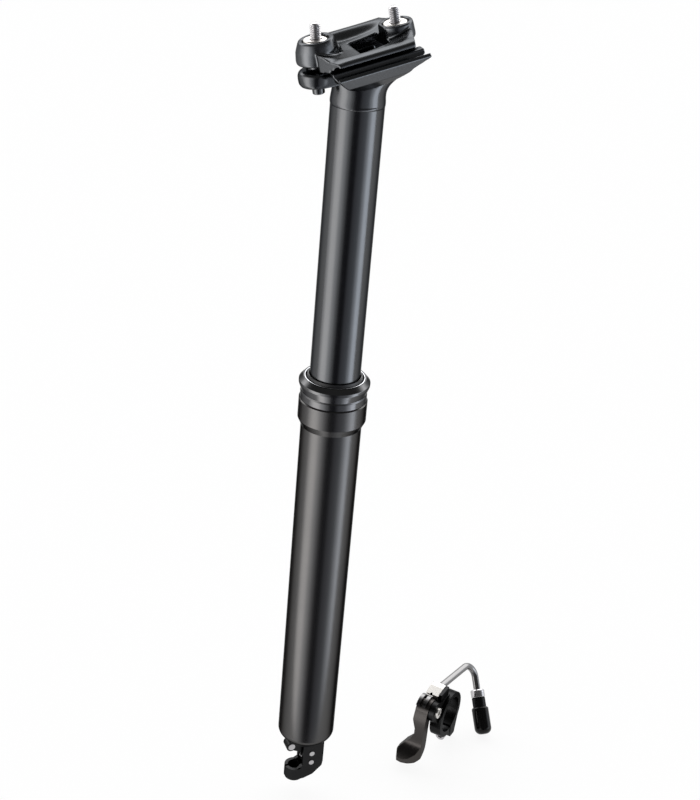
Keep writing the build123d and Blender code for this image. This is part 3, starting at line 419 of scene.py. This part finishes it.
def clampForms(plan):
    first, last, slices = plan["stations"][0][0], plan["stations"][-1][0], plan["slices"]
    places = [first + (last - first) * i / slices for i in range(slices + 1)]
    plate = loftForm("upperClamp", [clampRing(x, plan) for x in places])
    tip, tipHalf, reach = plan["tipReach"], plan["tipHalf"], plan["cutReach"]
    front, rear, wide = plan["front"], -plan["rear"], plan["edge"] + plan["planMargin"]
    outline = [(tip, tipHalf), (front, wide), (rear, wide), (-tip, tipHalf),
               (-tip, -tipHalf), (rear, -wide), (front, -wide), (tip, -tipHalf)]
    combine(plate, prismForm("clampPlanCut", outline, -reach, reach), "INTERSECT")
    x, z, rx, ry, rz = plan["web"]
    dome = []
    for step in range(1, plan["webSteps"]):
        t = math.pi * step / plan["webSteps"]
        dome.append([(x + rx * math.sin(t) * px, ry * math.sin(t) * py, z - rz * math.cos(t))
                     for px, py, _ in circlePoints(1, 0, plan["webTurnSteps"])])
    forms = [plate, loftForm("clampWeb", dome)]
    for side in (1, -1):
        rise, reach = side * headPlan["nutRise"], side * headPlan["nutReach"]
        lean = plan["bossLean"][side]
        rings = [circlePoints(r, h if h < plan["bossFixedBelow"] else h + rise, plan["bossSteps"],
                              reach - lean * h) for r, h in plan["bossProfile"][side]]
        forms.append(loftForm("clampBoss", rings))
    return forms


def clampCuts(plan):
    low, reach, along = headPlan["railLevel"], plan["cutReach"], plan["railReach"]
    cuts = [prismForm("windowCut", boxOutline(*plan["window"], plan["windowHalf"]), -reach, reach)]
    pocket, slot = plan["pocket"], plan["slotHalf"]
    for side in (1, -1):
        rise, nutAt = side * headPlan["nutRise"], side * headPlan["nutReach"]
        bowl = [(pocket * math.cos(math.radians(a)), rise - pocket * math.sin(math.radians(a)))
                for a in plan["pocketAngles"]]
        cuts.append(latheForm("nutPocket", bowl + [(pocket, rise + plan["pocketTop"])], cx=nutAt))
        cuts.append(prismForm("boltSlot", boxOutline(nutAt - slot, nutAt + slot, plan["slotHalfWidth"]),
                              -reach, plan["slotTop"]))
        groove = circlePoints(headPlan["railRadius"], 0, plan["railSteps"])
        cuts.append(loftForm("railCut", [[(x, side * headPlan["railHalf"] + across, low + up)
                                          for across, up, _ in groove] for x in (-along, along)]))
    return cuts


def makeUpperClamp(plan):
    # Each form gets all the cuts, then one remesh joins them
    forms = clampForms(plan)
    cuts = clampCuts(plan)
    for form in forms:
        for cut in cuts:
            applyBoolean(form, cut, "DIFFERENCE")
    for cut in cuts:
        bpy.data.objects.remove(cut)
    clamp = joinForms(forms)
    soften(clamp, plan["voxel"], plan["rounds"])
    settle(clamp, clampFrame, "saddle_clamp", nodeFinish["upper_clamp"], "upper_clamp")


makeUpperClamp(clampPlan)
print("upper clamp forged")

# Head forging and lower cradle, in millimetres: the solids' own forms, softened
forgePlan = {
    # A fuller front ear: (radius, height) pairs round the bolt's hole
    "earAt": 20.9, "turnSteps": 72, "holeSpan": (-24, -10),
    "ear": ((2.95, -12.2), (7.0, -12.25), (8.2, -12.9), (8.85, -14.2), (8.95, -16.0), (8.8, -18.0),
            (8.1, -19.3), (7.0, -19.9), (5.3, -19.9), (5.3, -15.75), (2.95, -15.75)),
    "voxel": 0.45, "rounds": 4, "neckLine": -24.0,  # no smoothing below the neck line
    "neckReach": 13.01, "neckFoot": 1.6, "neckWall": 1,
    "cradleVoxel": 0.4, "cradleRounds": 3,
}


def makeForgings(plan):
    head = copyNode("headForging", "head_forging", headFrame)
    steps, hole = plan["turnSteps"], plan["ear"][0][0]
    ear = ringForm("frontEar", plan["ear"], steps)
    ear.data.transform(Matrix.Translation((plan["earAt"], 0, 0)))
    combine(head, ear, "UNION")
    boltHole = latheForm("boltHole", [(hole, z) for z in plan["holeSpan"]], cx=plan["earAt"])
    combine(head, boltHole, "DIFFERENCE")
    soften(head, plan["voxel"], plan["rounds"], plan["neckLine"])
    # A thin sleeve keeps the neck's foot sharp against the tube
    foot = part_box("stanchion_tube")[1][2] / mm
    inner, outer, top = plan["neckReach"] - plan["neckWall"], plan["neckReach"], foot + plan["neckFoot"]
    sleeve = ringForm("neckFoot", [(inner, foot), (outer, foot), (outer, top), (inner, top)], steps)
    sleeve.data.transform(headFrame.inverted())
    joinForms([head, sleeve])
    settle(head, headFrame, "upper_post", nodeFinish["head_forging"], "head_forging")
    cradle = copyNode("lowerCradle", "lower_cradle", clampFrame)
    soften(cradle, plan["cradleVoxel"], plan["cradleRounds"])
    settle(cradle, clampFrame, "saddle_clamp", nodeFinish["lower_cradle"], "lower_cradle")


makeForgings(forgePlan)
print("head and cradle softened")

# Collar: a thin bright alloy ring seated in the cap's rim, partly a real machined edge and partly a painted
# highlight along the rim's chamfer, in millimetres
rimHighlightPlan = {"top": 27.25, "stand": 0.1, "drop": 0.5, "inner": 15.02, "outer": 15.62,
           "innerEdge": (0.12, 0.1), "outerEdge": (0.2, 0.22), "taper": 0.25, "turnSteps": 128}


def makeRimHighlightRing(plan):
    inner, outer, top = plan["inner"], plan["outer"], plan["top"] + plan["stand"]
    floor = top - plan["drop"]
    (innerIn, innerDown), (outerIn, outerDown) = plan["innerEdge"], plan["outerEdge"]
    profile = [(inner, floor), (inner, top - innerDown), (inner + innerIn, top), (outer - outerIn, top),
               (outer, top - outerDown), (outer - plan["taper"], floor)]
    ring = ringForm("capRimHighlightRing", profile, plan["turnSteps"])
    # The ring's bright alloy colour is partly a painted highlight where the rim's chamfer would catch the
    # light
    settle(ring, Matrix.Identity(4), "outer_post", "machinedAlloy")


makeRimHighlightRing(rimHighlightPlan)
print("collar ring turned")

# Clamp bolts and domed nuts: places are counted from the nut's centre, in millimetres
boltPlan = {
    "radius": 2.6, "pitch": 0.8, "depth": 0.4, "top": 8.8, "threadFrom": -4.0, "runOut": 0.9, "tip": 1.1,
    "headTop": -16.77, "headRadius": 4.4, "headHeight": 3.4, "headChamfer": 0.7, "headEdge": 0.3,
    "socket": 2.3, "socketDepth": 2.4, "turnSteps": 40, "pitchSteps": 8,
    "lean": {"front": -4.5, "rear": 1.5},
    "washer": ((2.7, -16.73), (4.9, -16.73), (4.9, -15.75), (2.7, -15.75)),
    "nut": ((2.85, -3.2), (4.6, -3.6), (5.45, -2.1), (5.85, -0.4), (5.85, 0.5), (5.7, 1.1), (5.35, 1.45),
            (4.9, 1.6), (3.3, 1.75), (2.95, 1.6), (2.8, 1.2)),
}


def boltMesh(name, plan):
    # From the socket's floor round the head and up the shank, then the thread row by row
    steps, pitch, radius, start = plan["turnSteps"], plan["pitch"], plan["radius"], plan["threadFrom"]
    head, neck, foot = plan["headRadius"], plan["headTop"], plan["headTop"] - plan["headHeight"]
    chamfer, edge, socket = plan["headChamfer"], plan["headEdge"], plan["socket"]
    profile = ((socket, foot + plan["socketDepth"]), (socket, foot), (head - chamfer, foot),
               (head, foot + chamfer), (head, neck - edge), (head - edge, neck),
               (radius, neck), (radius, start))
    rows = [circlePoints(r, z, steps) for r, z in profile]
    count = int((plan["top"] - start) / pitch * plan["pitchSteps"])
    for row in range(1, count + 1):
        z = start + row * pitch / plan["pitchSteps"]
        left = plan["top"] - z
        ease = min(1, (z - start) / pitch) * min(1, max(0, left / (plan["runOut"] * pitch)))
        dome = max(0, 1 - left / plan["tip"])
        ring = []
        for i in range(steps):
            turn = 2 * math.pi * i / steps
            wave = abs(((z / pitch - i / steps) % 1) * 2 - 1)
            r = radius - plan["depth"] * ease * (1 - wave) - plan["tip"] * dome * dome
            ring.append((r * math.cos(turn), r * math.sin(turn), z))
        rows.append(ring)
    return loftForm(name, rows)


def makeClampBolts(plan):
    for side, label in ((1, "front"), (-1, "rear")):
        place = headFrame @ Matrix.Translation((side * headPlan["halfBolts"], 0, 0))
        tilt = place @ Matrix.Rotation(math.radians(plan["lean"][label]), 4, "Y")
        settle(boltMesh(label + "Bolt", plan), tilt, "upper_post", "boltSteel", label + "_clamp_bolt")
        washer = ringForm(label + "Washer", plan["washer"])
        settle(washer, tilt, "upper_post", "boltSteel", label + "_bolt_washer")
        nut = ringForm(label + "Nut", plan["nut"])
        settle(nut, tilt, label + "_nut", "nickel", label + "_domed_nut")


makeClampBolts(boltPlan)
print("bolts and nuts cut")

# Floor, in metres: one pale sheet under the foot and the remote, cut straight a little in front of them
floorSpec = {
    "level": cadBox[0].z, "front": 0.055, "back": 4.5, "half": 4.0,
    "colour": (0.97, 0.97, 0.97), "mottle": 1.02, "mottleScale": 3.0, "rough": 0.9,
    "white": 0.9,  # share of plain white that camera, glossy and transmission rays see
}


def makeFloor(spec):
    fx, fy = cameraHeading
    corners = []
    for ahead, aside in ((spec["front"], -1), (spec["front"], 1), (-spec["back"], 1), (-spec["back"], -1)):
        side = aside * spec["half"]
        corners.append((ahead * fx - side * fy, ahead * fy + side * fx, spec["level"]))
    floor = objectFrom("studioFloor", corners, [(0, 1, 2, 3)])
    mat, tree, shader = newMaterial("paleFloor")
    mottled = noiseNode(tree, objectCoords(tree), spec["mottleScale"])
    pale = tuple(v * spec["mottle"] for v in spec["colour"])
    tree.links.new(mixColours(tree, mottled, spec["colour"], pale), shader.inputs["Base Color"])
    shader.inputs["Roughness"].default_value = spec["rough"]
    shader.inputs["Specular IOR Level"].default_value = 0.0
    glow = tree.nodes.new("ShaderNodeEmission")
    glow.inputs["Color"].default_value = (1, 1, 1, 1)
    glow.inputs["Strength"].default_value = 1.0
    paths = tree.nodes.new("ShaderNodeLightPath").outputs
    seen = mathNode(tree, "MAXIMUM", paths["Is Camera Ray"], paths["Is Glossy Ray"])
    seen = mathNode(tree, "MAXIMUM", seen, paths["Is Transmission Ray"])
    mix = tree.nodes.new("ShaderNodeMixShader")
    tree.links.new(mapRange(tree, seen, 0.0, spec["white"], 0.0, 1.0), mix.inputs["Fac"])
    tree.links.new(shader.outputs["BSDF"], mix.inputs[1])
    tree.links.new(glow.outputs["Emission"], mix.inputs[2])
    tree.links.new(mix.outputs["Shader"], tree.nodes["Material Output"].inputs["Surface"])
    floor.data.materials.append(mat)


makeFloor(floorSpec)
print("floor laid")

# Light: a studio painted on the world, by heading near the horizon and by height over the top
studioSpec = {
    "brightest": 4.0,
    # Heading in degrees to the left (-) or right (+) of the camera, then the light's red, green and blue
    "around": (
        (-180, 1.0, 1.0, 1.0), (-138, 1.0, 1.0, 1.0), (-112, 0.75, 0.76, 0.78), (-82, 2.1, 2.08, 2.08),
        (-66, 3.6, 3.55, 3.5), (-52, 3.5, 3.45, 3.42), (-36, 1.7, 1.72, 1.75), (-18, 0.55, 0.56, 0.58),
        (-8, 0.06, 0.06, 0.07), (8, 0.05, 0.05, 0.06), (24, 0.34, 0.35, 0.39), (44, 0.5, 0.53, 0.58),
        (58, 1.5, 1.58, 1.7), (72, 3.4, 3.6, 3.9), (88, 3.3, 3.5, 3.8), (106, 1.3, 1.36, 1.45),
        (130, 0.9, 0.92, 0.95), (150, 1.0, 1.0, 1.0), (180, 1.0, 1.0, 1.0),
    ),
    # Angle up from the horizon at the camera's side, over the top, to the horizon behind; then brightness
    "overhead": ((0, 0.08), (40, 0.12), (92, 0.1), (108, 0.3), (122, 1.9), (136, 4.0), (150, 4.0),
                 (164, 2.1), (180, 1.1)),
    "overFrom": 0.16, "overTo": 0.42,  # sine of the height where the overhead light starts, and is full
}


def makeWorld(spec):
    world = bpy.data.worlds.new("studioWorld")
    world.use_nodes = True
    tree = world.node_tree
    background = tree.nodes["Background"]
    coords = tree.nodes.new("ShaderNodeTexCoord")
    fx, fy = cameraHeading

    def along(axis):
        dot = tree.nodes.new("ShaderNodeVectorMath")
        dot.operation = "DOT_PRODUCT"
        dot.inputs[1].default_value = axis
        tree.links.new(coords.outputs["Generated"], dot.inputs[0])
        return dot.outputs["Value"]

    def stopsRamp(value, low, high, stops):
        ramp = tree.nodes.new("ShaderNodeValToRGB")
        elements = ramp.color_ramp.elements
        ramp.color_ramp.interpolation = "EASE"
        elements.remove(elements[-1])
        for number, (degrees, *colour) in enumerate(stops):
            place = (degrees - low) / (high - low)
            stop = elements[0] if number == 0 else elements.new(place)
            stop.position = place
            stop.color = (*(v / spec["brightest"] for v in colour), 1)
        turned = mapRange(tree, value, 0.0, 1.0, math.radians(low), math.radians(high))
        tree.links.new(turned, ramp.inputs["Fac"])
        return ramp.outputs["Color"]

    towards, across, upwards = along((fx, fy, 0)), along((-fy, fx, 0)), along((0, 0, 1))
    around = stopsRamp(mathNode(tree, "ARCTAN2", across, towards), -180, 180, spec["around"])
    greys = [(degrees, v, v, v) for degrees, v in spec["overhead"]]
    over = stopsRamp(mathNode(tree, "ARCTAN2", upwards, towards), 0, 180, greys)
    high = mapRange(tree, upwards, 0.0, 1.0, spec["overFrom"], spec["overTo"])
    studio = mixColours(tree, high, around, over)
    # The camera itself sees plain white behind the object
    seen = tree.nodes.new("ShaderNodeLightPath").outputs["Is Camera Ray"]
    shown = mixColours(tree, seen, studio, [1 / spec["brightest"]] * 3)
    tree.links.new(shown, background.inputs["Color"])
    background.inputs["Strength"].default_value = spec["brightest"]
    scene.world = world


makeWorld(studioSpec)
scene.view_settings.view_transform = "Standard"
print("studio light made")

# Camera: the place, turn and lens that were fitted to the photograph's outline, in metres and degrees
cameraSpec = {
    "right": (-0.927184, 0.374607, 0.0), "up": (-0.166563, -0.412259, 0.895712),
    "back": (0.33554, 0.83049, 0.444635), "at": (0.265138, 0.65624, 0.365594), "roll": 4.75,
    "lens": 79.447, "sensor": 36.0, "shift": (0.02413, -0.002005), "clip": (0.01, 20.0),
}


def makeCamera(spec):
    camera = bpy.data.cameras.new("productCamera")
    camera.sensor_fit = "HORIZONTAL"
    camera.sensor_width = spec["sensor"]
    camera.lens = spec["lens"]
    camera.clip_start, camera.clip_end = spec["clip"]
    camera.shift_x, camera.shift_y = spec["shift"]
    right, up, back = (Vector(spec[key]).normalized() for key in ("right", "up", "back"))
    turn = math.radians(spec["roll"])
    across = right * math.cos(turn) + up * math.sin(turn)
    above = up * math.cos(turn) - right * math.sin(turn)
    axes = Matrix((across, above, back)).transposed().to_4x4()
    obj = bpy.data.objects.new("productCamera", camera)
    scene.collection.objects.link(obj)
    obj.matrix_world = Matrix.Translation(spec["at"]) @ axes
    scene.camera = obj


makeCamera(cameraSpec)
print("camera set")
